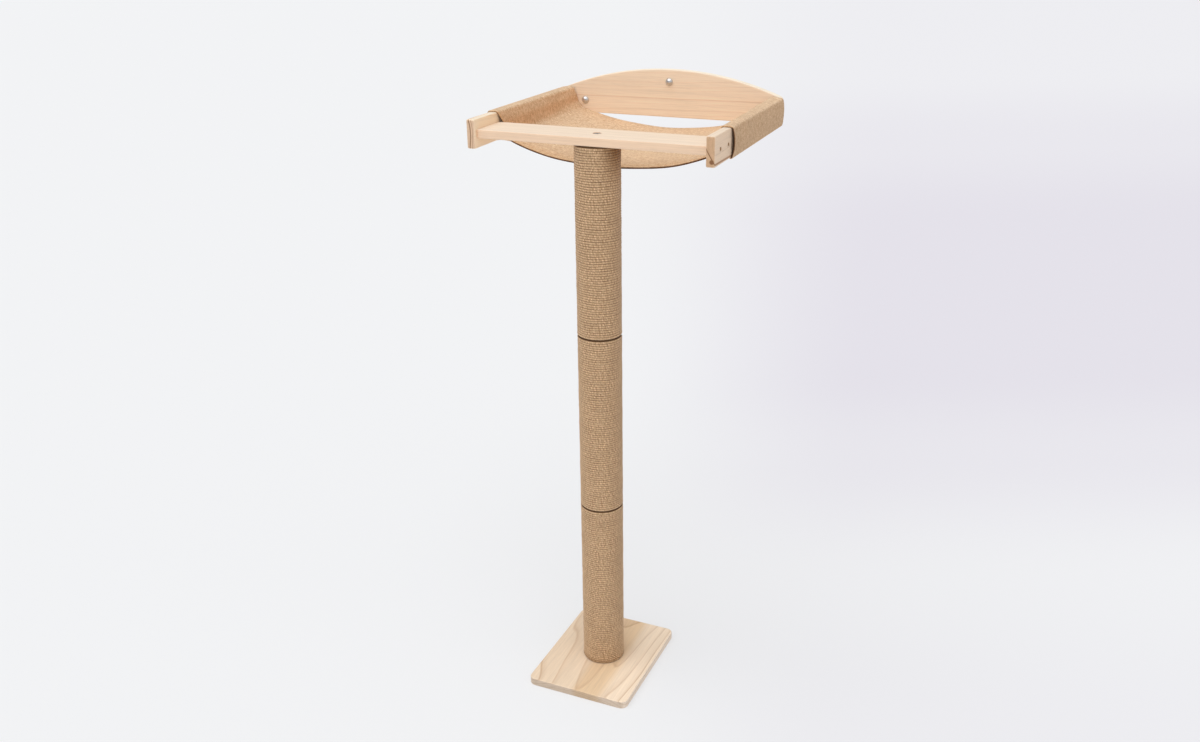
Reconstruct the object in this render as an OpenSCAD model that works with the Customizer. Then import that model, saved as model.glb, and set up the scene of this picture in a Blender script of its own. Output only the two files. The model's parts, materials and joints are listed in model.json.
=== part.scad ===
// Window cat perch. A cloth sling bed hangs in a wooden frame. The frame's back board is
// screwed to the wall or window frame, and a rope-wound post in three sections carries the
// frame's front rail. Millimetres. The origin is on the floor, on the post's axis. +Z is up,
// +Y points to the wall, and left and right are as seen from the front.

/* [Base plate] */
// Width of the base plate
plate_w = 204; // [160:1:320]
// Length of the base plate, front to back
plate_l = 258; // [200:1:360]
// Thickness of the base plate
plate_t = 15; // [12:0.5:25]
// Radius of the base plate's corners
plate_corner_r = 14; // [6:1:30]
// Distance from the plate's centre back to the post's axis
post_offset = 4; // [0:1:15]

/* [Post] */
// Length of one post section
section_l = 340; // [250:1:420]
// Outer diameter of the cardboard tubes
tube_d = 72; // [60:1:90]
// Wall of the cardboard tubes
tube_wall = 5; // [4:0.5:8]
// Thickness of the wooden plugs in the tube ends
plug_t = 20; // [19:1:35]

/* [Rope] */
// Diameter of the rope
rope_d = 4; // [3:0.25:6]
// Distance from a tube's end to the first or last turn of rope
rope_inset = 1.25; // [0.5:0.25:3]
// Turns of rope drawn one by one at the top of each section
rope_turns = 8; // [3:1:8]
// Gap between two of those turns
rope_turn_gap = 0.5; // [0.45:0.05:1.5]

/* [Frame] */
// Outer width of the frame, over both arms
frame_w = 445; // [380:1:560]
// Length of the side arms
arm_l = 385; // [330:1:460]
// Height of the side arms
arm_h = 50; // [46:1:70]
// How far the arms' underside rises from their front to the back board
arm_rise = 4; // [0:0.5:6]
// Thickness of the side arms
arm_t = 15; // [12:0.5:22]
// Length of the arms in front of the post's axis
arm_front = 48; // [40:1:80]
// Width of the front rail, front to back
rail_w = 80; // [60:1:100]
// Thickness of the front rail
rail_t = 15; // [13:0.5:20]
// Radius of the eased edges on all the boards
edge_r = 2; // [1:0.25:3]

/* [Back board] */
// Thickness of the back board
board_t = 15; // [12:0.5:22]
// Height of the back board at its middle
board_h = 89.5; // [75:0.5:120]
// Height of the back board at its ends
board_end_h = 47; // [40:0.5:60]
// How far the board's ends lie inside the arms' outer faces
board_inset = 1.5; // [0:0.25:3]
// Distance from the arms' underside up to the board's lower edge
board_lift = 4; // [0:0.5:10]
// Radius of the board's corners
board_corner_r = 12; // [6:1:18]

/* [Sling] */
// Thickness of the sling cloth
cloth_t = 2; // [1.5:0.1:3]
// Free space between the cloth and the wood that carries it
cloth_gap = 0.4; // [0.3:0.1:1]
// Depth of the sling's front edge below the top of the arms
sag_front = 84; // [55:1:110]
// Depth of the sling's back edge below the top of the arms
sag_back = 67; // [50:1:100]
// How far the loose sleeves stand off the arms' outer faces
sleeve_bulge = 4; // [3:0.5:8]
// Distance from the front rail back to the sling's front edge
sling_rail_gap = 7; // [3:0.5:20]

/* [Metal] */
// Diameter of the bolts and studs in the post
bolt_d = 8; // [6:1:10]
// Length of the bolts under the head
bolt_l = 30; // [28:1:34]
// Length of the studs between the sections
stud_l = 34; // [24:1:36]
// Diameter of a bolt's flat head
bolt_head_d = 13; // [11:0.5:15]
// Thickness of a bolt's flat head
bolt_head_t = 3; // [2:0.5:4]
// Outer diameter of the threaded inserts
insert_d = 12; // [11:0.5:14]
// Length of the threaded inserts
insert_l = 18; // [14:1:18]
// Depth that the inserts lie below the plugs' faces
insert_sink = 0.5; // [0.25:0.25:1]
// Diameter of the washer under the base bolt's head
washer_d = 20; // [16:1:26]
// Thickness of that washer
washer_t = 1.5; // [1:0.25:2]
// Diameter of the wood screws in the frame
screw_d = 4; // [3:0.5:5]
// Length of the wood screws in the frame
screw_l = 45; // [35:1:55]
// Diameter of the wood screws' heads
screw_head_d = 7.6; // [6:0.2:9]
// Depth of the holes that sink the heads of the rail screws
screw_recess = 5; // [3:0.5:6]
// Distance between the two screws in one arm's side
rail_screw_pitch = 40; // [24:1:50]
// Distance between the two screws in one arm's end
board_screw_pitch = 20; // [14:1:24]
// Diameter of the wall screws' threaded ends, behind the back board
wall_screw_d = 4.5; // [4:0.5:6]
// Diameter of the wall screws' plain shanks, inside the back board
wall_shank_d = 3.4; // [2.8:0.1:3.8]
// Length of the wall screws behind the back board
wall_screw_out = 35; // [25:1:50]
// Diameter of the wall screws' dome heads
dome_d = 15; // [10:0.5:18]
// Height of the wall screws' dome heads
dome_h = 5.5; // [4:0.5:6]
// Distance from the middle to each side wall screw
wall_screw_x = 176; // [120:1:180]
// Height of the side wall screws above the board's lower edge
wall_screw_low = 24; // [15:1:26]
// Height of the top wall screw above the board's lower edge
wall_screw_high = 66.5; // [50:0.5:72]

/* [Hidden] */

$fn = 96;
// Free space around a piece that is glued or screwed into its hole
fit_gap = 0.05;
// Free space around a bolt or screw that passes through its hole
pass_gap = 0.25;
// Depth that a bolt's head lies below the board's face
head_sink = 1;
// Free space around a bolt's head in the front rail
head_gap = 1;
// Radius of the arms' corners, seen from the side
arm_corner_r = 3;
// Thickness of a wood screw's head
screw_head_t = 2.6;
// Length of a screw's tip, and the share of the screw's diameter that it tapers to
screw_tip = 6;
tip_share = 0.2;
// Sides of a hexagonal key's socket across the flats, and its depth
bolt_key = 5;
bolt_key_depth = 2;
screw_key = 3;
screw_key_depth = 1.6;

// Heights above the floor
post_z = plate_t;
rail_z = post_z + 3 * section_l;
arm_z = rail_z + rail_t / 2 - arm_h / 2;
arm_top = arm_z + arm_h;
board_z = arm_z + board_lift;
rail_mid_z = rail_z + rail_t / 2;

// Places across and along the frame
arm_out = frame_w / 2;
arm_in = arm_out - arm_t;
arm_mid = arm_out - arm_t / 2;
board_y = arm_l - arm_front;
wall_y = board_y + board_t;

// Radii that pieces share
tube_r = tube_d / 2;
tube_in_r = tube_r - tube_wall;
rope_r = rope_d / 2;
winding_r = tube_r + rope_d;
bolt_r = bolt_d / 2;
screw_r = screw_d / 2;
head_r = screw_head_d / 2;
washer_r = washer_d / 2;
base_recess = washer_t + bolt_head_t + head_sink;
rail_recess = bolt_head_t + head_sink;

// Shapes of the boards

// A rectangle with round corners
module round_rect(a, b, r) {
  square([a - 2 * r, b], center = true);
  square([a, b - 2 * r], center = true);
  for (sx = [-1, 1], sy = [-1, 1])
    translate([sx * (a / 2 - r), sy * (b / 2 - r)]) circle(r);
}

// A block from the corner "low", of the given size, with every edge eased
module eased_block(low, size, r) {
  translate(low + size / 2) intersection() {
    linear_extrude(size[2] + 2, center = true) round_rect(size[0], size[1], r);
    rotate([90, 0, 0]) linear_extrude(size[1] + 2, center = true) round_rect(size[0], size[2], r);
    rotate([90, 0, 90]) linear_extrude(size[0] + 2, center = true) round_rect(size[1], size[2], r);
  }
}

// Steps of an eased edge: each gives how far the outline draws in and how much the slab thins
ease_steps = [for (a = [0, 45, 90]) [edge_r * (1 - sin(a)), 2 * edge_r * (1 - cos(a))]];

// The right arm's slab. Its underside rises to the back board.
module arm_blank() {
  c = arm_corner_r;
  translate([arm_mid, 0, 0]) hull() for (step = ease_steps)
    rotate([90, 0, 90]) linear_extrude(arm_t - step[1], center = true)
      for (p = [
        [c - arm_front, arm_z + c], [c - arm_front, arm_top - c],
        [board_y - c, arm_z + arm_rise + c], [board_y - c, arm_top - c]
      ]) translate(p) circle(c - step[0], $fn = 32);
}

module base_plate_blank() {
  translate([0, -post_offset, plate_t / 2]) hull()
    for (step = ease_steps)
      for (sx = [-1, 1], sy = [-1, 1])
        translate([sx * (plate_w / 2 - plate_corner_r), sy * (plate_l / 2 - plate_corner_r)])
          cylinder(h = plate_t - step[1], r = plate_corner_r - step[0], center = true, $fn = 32);
}

// The board's top is one arc through both ends and the middle
arch_rise = board_h - board_end_h;
board_half = arm_out - board_inset;
arch_r = (pow(board_half, 2) + pow(arch_rise, 2)) / (2 * arch_rise);
arch_centre_z = board_h - arch_r;
corner_x = board_half - board_corner_r;
corner_top_z = arch_centre_z + sqrt(pow(arch_r - board_corner_r, 2) - pow(corner_x, 2));
arch_half_angle = asin(corner_x / (arch_r - board_corner_r));
arch_steps = 24;

// The slab of the back board at one step of its eased edge, standing on its lower edge
module board_slab(step) {
  r = board_corner_r - step[0];
  rotate([90, 0, 0]) linear_extrude(board_t - step[1], center = true) {
    for (sx = [-1, 1], z = [board_corner_r, corner_top_z])
      translate([sx * corner_x, z]) circle(r, $fn = 32);
    polygon([for (i = [0:arch_steps]) let (a = arch_half_angle * (1 - 2 * i / arch_steps))
      [(arch_r - step[0]) * sin(a), arch_centre_z + (arch_r - step[0]) * cos(a)]]);
  }
}

module board_blank() {
  translate([0, board_y + board_t / 2, board_z]) hull()
    for (step = ease_steps) board_slab(step);
}

// Metal pieces

// A hexagonal socket, cut down from z = 0
module key_socket(flats, depth) {
  translate([0, 0, -depth]) cylinder(h = depth + 1, d = flats / cos(30), $fn = 6);
}

// A bolt whose head's underside is at z = 0, with its shank down and its head up
module flat_bolt() {
  difference() {
    union() {
      cylinder(h = bolt_head_t, d = bolt_head_d);
      translate([0, 0, -bolt_l]) cylinder(h = bolt_l + 1, r = bolt_r);
    }
    translate([0, 0, bolt_head_t]) key_socket(bolt_key, bolt_key_depth);
  }
}

// A wood screw with a flat head from z = -screw_head_t to 0, or a tapered one
module wood_screw(tapered) {
  difference() {
    union() {
      translate([0, 0, -screw_head_t])
        cylinder(h = screw_head_t, r1 = tapered ? screw_r : head_r, r2 = head_r);
      translate([0, 0, screw_tip - screw_l]) cylinder(h = screw_l - screw_tip - 1, r = screw_r);
      translate([0, 0, -screw_l]) cylinder(h = screw_tip, r1 = tip_share * screw_r, r2 = screw_r);
    }
    key_socket(screw_key, screw_key_depth);
  }
}

// A wall screw: its dome head's underside is at z = 0, with the dome up and the shank down
module wall_screw() {
  dome_r = dome_d / 2;
  tip_z = -board_t - wall_screw_out;
  ball_r = (pow(dome_r, 2) + pow(dome_h, 2)) / (2 * dome_h);
  intersection() {
    translate([0, 0, dome_h - ball_r]) sphere(ball_r);
    cylinder(h = dome_h + 1, r = dome_r + 1);
  }
  translate([0, 0, -board_t]) cylinder(h = board_t + 1, d = wall_shank_d);
  translate([0, 0, tip_z + screw_tip]) cylinder(h = wall_screw_out - screw_tip, d = wall_screw_d);
  translate([0, 0, tip_z]) cylinder(h = screw_tip, d1 = tip_share * wall_screw_d, d2 = wall_screw_d);
}

// Both screws of one arm's side, drawn on the right: y and z of each
rail_screw_places = [for (s = [-1, 1]) [s * rail_screw_pitch / 2, rail_mid_z]];
// Both screws of one arm's end: x and z of each, on the right
arm_mid_z = board_z + board_end_h / 2;
board_screw_places = [for (s = [-1, 1]) [arm_mid, arm_mid_z + s * board_screw_pitch / 2]];
// The three wall screws: x and z of each
wall_screw_places = [
  [-wall_screw_x, board_z + wall_screw_low],
  [0, board_z + wall_screw_high],
  [wall_screw_x, board_z + wall_screw_low]
];

module right_rail_screw_pair() {
  for (p = rail_screw_places)
    translate([arm_out - screw_recess + screw_head_t, p[0], p[1]]) rotate([0, 90, 0]) wood_screw(false);
}

module right_board_screw_pair() {
  for (p = board_screw_places)
    translate([p[0], wall_y, p[1]]) rotate([-90, 0, 0]) wood_screw(true);
}

// Post pieces, each drawn in its section's own height

module tube() {
  difference() {
    cylinder(h = section_l, r = tube_r);
    translate([0, 0, -1]) cylinder(h = section_l + 2, r = tube_in_r);
  }
}

// A plug with the hole for its threaded insert
module plug() {
  difference() {
    cylinder(h = plug_t, r = tube_in_r - fit_gap);
    translate([0, 0, -1]) cylinder(h = plug_t + 2, r = insert_d / 2 + fit_gap);
  }
}

module insert() {
  difference() {
    cylinder(h = insert_l, d = insert_d);
    translate([0, 0, -1]) cylinder(h = insert_l + 2, r = bolt_r + fit_gap);
  }
}

// Height of a section's lower end
function section_z(i) = post_z + i * section_l;

module section_tube(i) color("burlywood") translate([0, 0, section_z(i)]) tube();
module bottom_plug(i) color("tan") translate([0, 0, section_z(i)]) plug();
module top_plug(i) color("tan") translate([0, 0, section_z(i + 1) - plug_t]) plug();

// The drawn turns of rope are one tube of six sides on a helix
ring_sides = 6;
rings_per_turn = 24;
turn_pitch = rope_d + rope_turn_gap;
// The helix is wide enough for its flats to clear the tube between two rings
helix_r = (tube_r + fit_gap + rope_r * cos(30)) / cos(180 / rings_per_turn);
helix_rings = rope_turns * rings_per_turn;
helix_slope = turn_pitch / (2 * PI * helix_r);
helix_top = section_l - rope_inset - rope_r;
helix_low = helix_top - rope_turns * turn_pitch;
plain_top = helix_low - rope_r - rope_turn_gap;

// Direction along the rope and point on its middle line at ring k
function along(k) = let (a = 360 * k / rings_per_turn)
  [-sin(a), cos(a), helix_slope] / norm([1, helix_slope]);
function middle(k) = let (a = 360 * k / rings_per_turn)
  [helix_r * cos(a), helix_r * sin(a), helix_low + turn_pitch * k / rings_per_turn];

// The ring of points round the rope at ring k, moved along the rope by s
function rope_ring(k, s = 0) =
  let (a = 360 * k / rings_per_turn, out = [cos(a), sin(a), 0], up = cross(out, along(k)))
  [for (j = [0:ring_sides - 1]) let (b = -360 * (j + 0.5) / ring_sides)
    middle(k) + s * along(k) + rope_r * (cos(b) * out + sin(b) * up)];

// Both ends run straight on for one rope diameter
rope_rings = [
  rope_ring(0, -rope_d),
  for (k = [0:helix_rings]) rope_ring(k),
  rope_ring(helix_rings, rope_d)
];

// Least distance between points one turn apart
rope_least_gap = min([for (k = [0:helix_rings - rings_per_turn])
  for (p = rope_rings[k + 1]) for (q = rope_rings[k + 1 + rings_per_turn]) norm(p - q)]);
echo(rope_least_gap = rope_least_gap);

// A closed skin over rings of points that all have the same even count. Point j of a ring
// lies across from point n - 1 - j, so each end is closed like a ladder.
module ring_skin(rings) {
  n = len(rings[0]);
  last = len(rings) - 1;
  end = last * n;
  polyhedron(
    points = [for (ring = rings) each ring],
    faces = [
      for (k = [0:last - 1], j = [0:n - 1]) let (a = k * n + j, b = k * n + (j + 1) % n)
        each [[a, a + n, b], [b, a + n, b + n]],
      for (j = [0:n / 2 - 2]) let (c = n - 2 - j) each [[j, j + 1, c], [j, c, c + 1]],
      for (j = [0:n / 2 - 2]) let (c = n - 2 - j)
        each [[end + j, end + c, end + j + 1], [end + j, end + c + 1, end + c]]
    ]
  );
}

module rope_winding(i) color("peru") translate([0, 0, section_z(i)]) {
  // The plain stretch, with ends as round as the rope
  rotate_extrude() {
    difference() {
      union() {
        translate([tube_r, rope_inset + rope_r]) square([rope_d, plain_top - rope_inset - rope_d]);
        translate([tube_r, rope_inset]) square([rope_r, plain_top - rope_inset]);
        for (z = [rope_inset + rope_r, plain_top - rope_r])
          translate([winding_r - rope_r, z]) circle(rope_r);
      }
      square([tube_r + fit_gap, section_l]);
    }
  }
  ring_skin(rope_rings);
}

// The sling: one band of cloth, seen as a line in the frame's width and height, that runs from
// under the left arm over it, down through the belly and over the right arm. t is 0 on the
// sling's front edge and 1 on its back edge.

sling_back_y = board_y - cloth_gap;
sling_stations = 5;
belly_steps = 10;

function mix(a, b, t) = a + (b - a) * t;
// Half width and height of the belly's rim, where it bends up to the arm
function rim_x(t) = arm_in - mix(17, 24, t);
function rim_z(t) = arm_z + mix(1, 13, t);
function belly_low(t) = arm_top - mix(sag_front, sag_back, t) + cloth_t / 2;
// The belly is round at the back and flatter in its middle at the front
function belly_z(x, t) = let (u = x / rim_x(t), round_part = mix(0.7, 1, t))
  mix(belly_low(t), rim_z(t), round_part * pow(u, 2) + (1 - round_part) * pow(u, 4));

// Width of the belly that the sleeve's end is sewn under, and its distance below the belly
seam_w = 12;
seam_drop = 1.15 * cloth_t + 3 * cloth_gap;
// The least distance from the wood to the middle of the cloth, and the same at a corner
hug = cloth_gap + cloth_t / 2;
corner_hug = 0.6 * hug;
// How far the belly's front edge lies behind the front of the sleeves
belly_back = 16;
sleeve_front_y = rail_w / 2 + sling_rail_gap - belly_back;

// Height of the right arm's underside, and how far the loose sleeve stands off the arm there
function arm_low(t) = let (y = mix(sleeve_front_y, sling_back_y, t))
  arm_z + arm_rise * (y + arm_front) / arm_l;
function bulge(t) = mix(sleeve_bulge, 0.7 * sleeve_bulge, t);

// Points of the right sleeve: up from the belly, over and round the arm, and back to the seam.
// Each is x, z, how far the front edge lies behind the front of the sleeve there, and how far
// the back edge lies in front of the sleeve's back.
function sleeve_points(t) = let (rim = rim_x(t), seam_x = rim - 2) [
  [rim - belly_back, belly_z(rim - belly_back, t), belly_back, 0],
  [rim - 3, belly_z(rim - 3, t) + 0.5, belly_back, 0],
  [rim + 4, rim_z(t) + 7, belly_back, 0],
  [arm_in - mix(10, 16, t), arm_z + mix(22, 26, t), 13, 1],
  [arm_in - mix(8, 12.5, t), arm_top - mix(17, 12, t), 10, 2],
  [arm_in - mix(4.5, 8.5, t), arm_top - mix(7, 5, t), 6, 3],
  [arm_in - mix(1, 4, t), arm_top + mix(0.4, 0.8, t), 3, 3],
  [arm_in + 4, arm_top + hug + mix(0.2, 0.8, t), 1, 3],
  [arm_out - 3.5, arm_top + hug + 0.2, 0, 4],
  [arm_out + 1, arm_top, 2, 4],
  [arm_out + hug + mix(1.4, 0.8, t), arm_top - 7.5, 3, 1.5],
  [arm_out + bulge(t), arm_z + 0.6 * arm_h, 4, 1],
  [arm_out + max(hug, bulge(t) - 0.8), arm_z + 0.3 * arm_h, 4, 1],
  [arm_out + hug + 0.6, arm_low(t) + 2.5, 4, 4],
  [arm_out + corner_hug, arm_low(t) - corner_hug, 4, 7],
  [arm_out - 3.5, arm_low(t) - hug - 0.3, 8, 8],
  [arm_in + mix(3, -2, t), arm_low(t) - hug - 0.4, 20, 4],
  [seam_x, belly_z(seam_x, t) - seam_drop - 0.4, 24, 0],
  [seam_x - seam_w, belly_z(seam_x - seam_w, t) - seam_drop, 26, 0]
];

// A smooth line through points: the value between p[i] and p[i + 1] at share u
function spline(p, i, u) =
  let (a = p[max(i - 1, 0)], b = p[i], c = p[i + 1], d = p[min(i + 2, len(p) - 1)])
  b + u / 2 * (c - a + u * (2 * a - 5 * b + 4 * c - d + u * (3 * (b - c) + d - a)));

sleeve_share = 2;
function right_sleeve_line(t) = let (p = sleeve_points(t))
  [for (i = [0:len(p) - 2], s = [0:sleeve_share - 1]) spline(p, i, s / sleeve_share), p[len(p) - 1]];
function belly_line(t) = let (half = rim_x(t) - belly_back)
  [for (i = [1:belly_steps - 1]) let (x = half * (2 * i / belly_steps - 1))
    [x, belly_z(x, t), belly_back, 0]];
function reversed(list) = [for (i = [len(list) - 1:-1:0]) list[i]];
function sling_line(t) = let (r = right_sleeve_line(t))
  concat([for (p = reversed(r)) [-p[0], p[1], p[2], p[3]]], belly_line(t), r);

// Both faces of the cloth, half its thickness to each side of the line
function offset_line(line, d) = [for (i = [0:len(line) - 1])
  let (
    a = line[max(i - 1, 0)],
    b = line[min(i + 1, len(line) - 1)],
    along = [b[0] - a[0], b[1] - a[1]] / norm([b[0] - a[0], b[1] - a[1]])
  )
  [line[i][0] - d * along[1], line[i][1] + d * along[0], line[i][2], line[i][3]]];
function sling_ring(t) =
  let (
    line = sling_line(t),
    ring = concat(offset_line(line, cloth_t / 2), reversed(offset_line(line, -cloth_t / 2)))
  )
  [for (p = ring) [p[0], mix(sleeve_front_y + p[2], sling_back_y - p[3], t), p[1]]];

// Nodes

module base_plate() color("moccasin") difference() {
  base_plate_blank();
  translate([0, 0, -1]) cylinder(h = base_recess + 1, r = washer_r + pass_gap);
  cylinder(h = plate_t + 1, r = bolt_r + pass_gap);
}

module base_washer() color("silver") translate([0, 0, base_recess - washer_t]) difference() {
  cylinder(h = washer_t, r = washer_r);
  translate([0, 0, -1]) cylinder(h = washer_t + 2, r = bolt_r + pass_gap);
}

module base_bolt() color("silver")
  translate([0, 0, base_recess - washer_t]) rotate([180, 0, 0]) flat_bolt();

module lower_tube() section_tube(0);
module lower_bottom_plug() bottom_plug(0);
module lower_top_plug() top_plug(0);
module lower_rope() rope_winding(0);
module middle_tube() section_tube(1);
module middle_bottom_plug() bottom_plug(1);
module middle_top_plug() top_plug(1);
module middle_rope() rope_winding(1);
module upper_tube() section_tube(2);
module upper_bottom_plug() bottom_plug(2);
module upper_top_plug() top_plug(2);
module upper_rope() rope_winding(2);

module threaded_inserts() color("gray") for (i = [0:2]) {
  translate([0, 0, section_z(i) + insert_sink]) insert();
  translate([0, 0, section_z(i + 1) - insert_l - insert_sink]) insert();
}

module joint_stud(i) color("silver")
  translate([0, 0, section_z(i)]) cylinder(h = stud_l, r = bolt_r, center = true);
module lower_stud() joint_stud(1);
module upper_stud() joint_stud(2);

module front_rail() color("bisque") difference() {
  eased_block([-arm_in, -rail_w / 2, rail_z], [2 * arm_in, rail_w, rail_t], edge_r);
  translate([0, 0, rail_z - 1]) cylinder(h = rail_t + 2, r = bolt_r + pass_gap);
  translate([0, 0, rail_z + rail_t - rail_recess])
    cylinder(h = rail_recess + 1, r = bolt_head_d / 2 + head_gap);
  for (s = [-1, 1], p = rail_screw_places)
    translate([s * (arm_out - screw_recess - screw_l), p[0], p[1]])
      rotate([0, s * 90, 0]) cylinder(h = screw_l + screw_recess, r = screw_r + fit_gap);
}

module rail_bolt() color("silver") translate([0, 0, rail_z + rail_t - rail_recess]) flat_bolt();

// The right arm; the left one is its mirror image
module arm() difference() {
  arm_blank();
  for (p = rail_screw_places) translate([arm_in - 1, p[0], p[1]]) rotate([0, 90, 0]) {
    cylinder(h = arm_t + 2, r = screw_r + pass_gap);
    translate([0, 0, arm_t + 1 - screw_recess]) cylinder(h = screw_recess + 1, r = head_r + pass_gap);
  }
  for (p = board_screw_places)
    translate([p[0], wall_y - screw_l, p[1]]) rotate([-90, 0, 0])
      cylinder(h = screw_l, r = screw_r + fit_gap);
}

module right_arm() color("bisque") arm();
module left_arm() color("bisque") mirror([1, 0, 0]) arm();

module right_rail_screws() color("silver") right_rail_screw_pair();
module left_rail_screws() color("silver") mirror([1, 0, 0]) right_rail_screw_pair();
module right_board_screws() color("silver") right_board_screw_pair();
module left_board_screws() color("silver") mirror([1, 0, 0]) right_board_screw_pair();

module back_board() color("navajowhite") difference() {
  board_blank();
  for (p = wall_screw_places)
    translate([p[0], board_y - 1, p[1]]) rotate([-90, 0, 0])
      cylinder(h = board_t + 2, r = wall_screw_d / 2 + pass_gap);
  for (s = [-1, 1], p = board_screw_places) translate([s * p[0], wall_y, p[1]]) rotate([-90, 0, 0]) {
    translate([0, 0, -board_t - 1]) cylinder(h = board_t + 2, r = screw_r + pass_gap);
    translate([0, 0, -screw_head_t])
      cylinder(h = screw_head_t, r1 = screw_r + pass_gap, r2 = head_r + pass_gap);
  }
}

module wall_screws() color("gainsboro") for (p = wall_screw_places)
  translate([p[0], board_y, p[1]]) rotate([90, 0, 0]) wall_screw();

module sling() color("tan") ring_skin([for (i = [0:sling_stations]) sling_ring(i / sling_stations)]);

base_plate();
base_washer();
base_bolt();
lower_tube();
lower_bottom_plug();
lower_top_plug();
lower_rope();
middle_tube();
middle_bottom_plug();
middle_top_plug();
middle_rope();
upper_tube();
upper_bottom_plug();
upper_top_plug();
upper_rope();
threaded_inserts();
lower_stud();
upper_stud();
front_rail();
rail_bolt();
left_arm();
right_arm();
left_rail_screws();
right_rail_screws();
back_board();
left_board_screws();
right_board_screws();
wall_screws();
sling();
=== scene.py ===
"""Looks of the window cat perch: pine boards, rope windings, a woven sling and nickel wall screws.

Metres. The frame's origin is on the floor on the post's axis, +Z is up and +Y points to the wall.
"""

import json
from math import cos, pi, radians, sin

import bpy
import numpy as np
from mathutils import Matrix, Vector


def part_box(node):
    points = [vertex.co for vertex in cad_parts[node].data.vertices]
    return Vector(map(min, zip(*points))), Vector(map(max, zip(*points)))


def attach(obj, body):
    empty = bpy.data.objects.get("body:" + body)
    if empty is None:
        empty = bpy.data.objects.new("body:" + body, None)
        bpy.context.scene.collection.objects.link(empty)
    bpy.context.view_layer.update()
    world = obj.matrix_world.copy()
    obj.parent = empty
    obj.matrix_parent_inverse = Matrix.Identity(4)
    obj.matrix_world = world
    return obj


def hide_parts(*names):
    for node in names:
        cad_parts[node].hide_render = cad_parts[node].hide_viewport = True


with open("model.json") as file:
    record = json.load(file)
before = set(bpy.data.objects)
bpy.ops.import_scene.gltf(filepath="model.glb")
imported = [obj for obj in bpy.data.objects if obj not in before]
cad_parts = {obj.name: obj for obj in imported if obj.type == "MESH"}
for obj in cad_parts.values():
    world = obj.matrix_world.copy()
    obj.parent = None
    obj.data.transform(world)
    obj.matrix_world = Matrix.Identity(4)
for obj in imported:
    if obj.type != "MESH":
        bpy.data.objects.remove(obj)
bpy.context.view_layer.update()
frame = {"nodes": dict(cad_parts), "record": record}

MM = 0.001

# Camera: the photograph's view

PHOTO_W = 1200
FOCAL_PIXELS = 1151.9
SENSOR_W = 36
CAMERA_AT = Vector((0.7904, -1.7557, 1.4074))
CAMERA_AZIMUTH = radians(24.250)
CAMERA_PITCH = radians(22.183)
CAMERA_ROLL = radians(-0.753)


def make_camera():
    data = bpy.data.cameras.new("camera")
    data.sensor_width = SENSOR_W
    data.lens = SENSOR_W * FOCAL_PIXELS / PHOTO_W
    data.clip_start = 0.05
    data.clip_end = 100
    camera = bpy.data.objects.new("camera", data)
    bpy.context.scene.collection.objects.link(camera)
    level = cos(CAMERA_PITCH)
    look = Vector((-sin(CAMERA_AZIMUTH) * level, cos(CAMERA_AZIMUTH) * level, -sin(CAMERA_PITCH)))
    right = Vector((cos(CAMERA_AZIMUTH), sin(CAMERA_AZIMUTH), 0))
    up = right.cross(look)
    rolled_right = right * cos(CAMERA_ROLL) + up * sin(CAMERA_ROLL)
    rolled_up = up * cos(CAMERA_ROLL) - right * sin(CAMERA_ROLL)
    turn = Matrix((rolled_right, rolled_up, -look)).transposed()
    camera.matrix_world = Matrix.Translation(CAMERA_AT) @ turn.to_4x4()
    bpy.context.scene.camera = camera


# Colours are written as they look, from 0 to 255, and turned into the linear values of shaders


def colour(r, g, b):
    def linear(c):
        c /= 255
        return c / 12.92 if c <= 0.04045 else ((c + 0.055) / 1.055) ** 2.4

    return (linear(r), linear(g), linear(b), 1)


# Shader helper

# The mix node has sockets for numbers and vectors as well: these are its colours
MIX_COLOUR_A = 6
MIX_COLOUR_B = 7
MIX_COLOUR_OUT = 2


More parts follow.
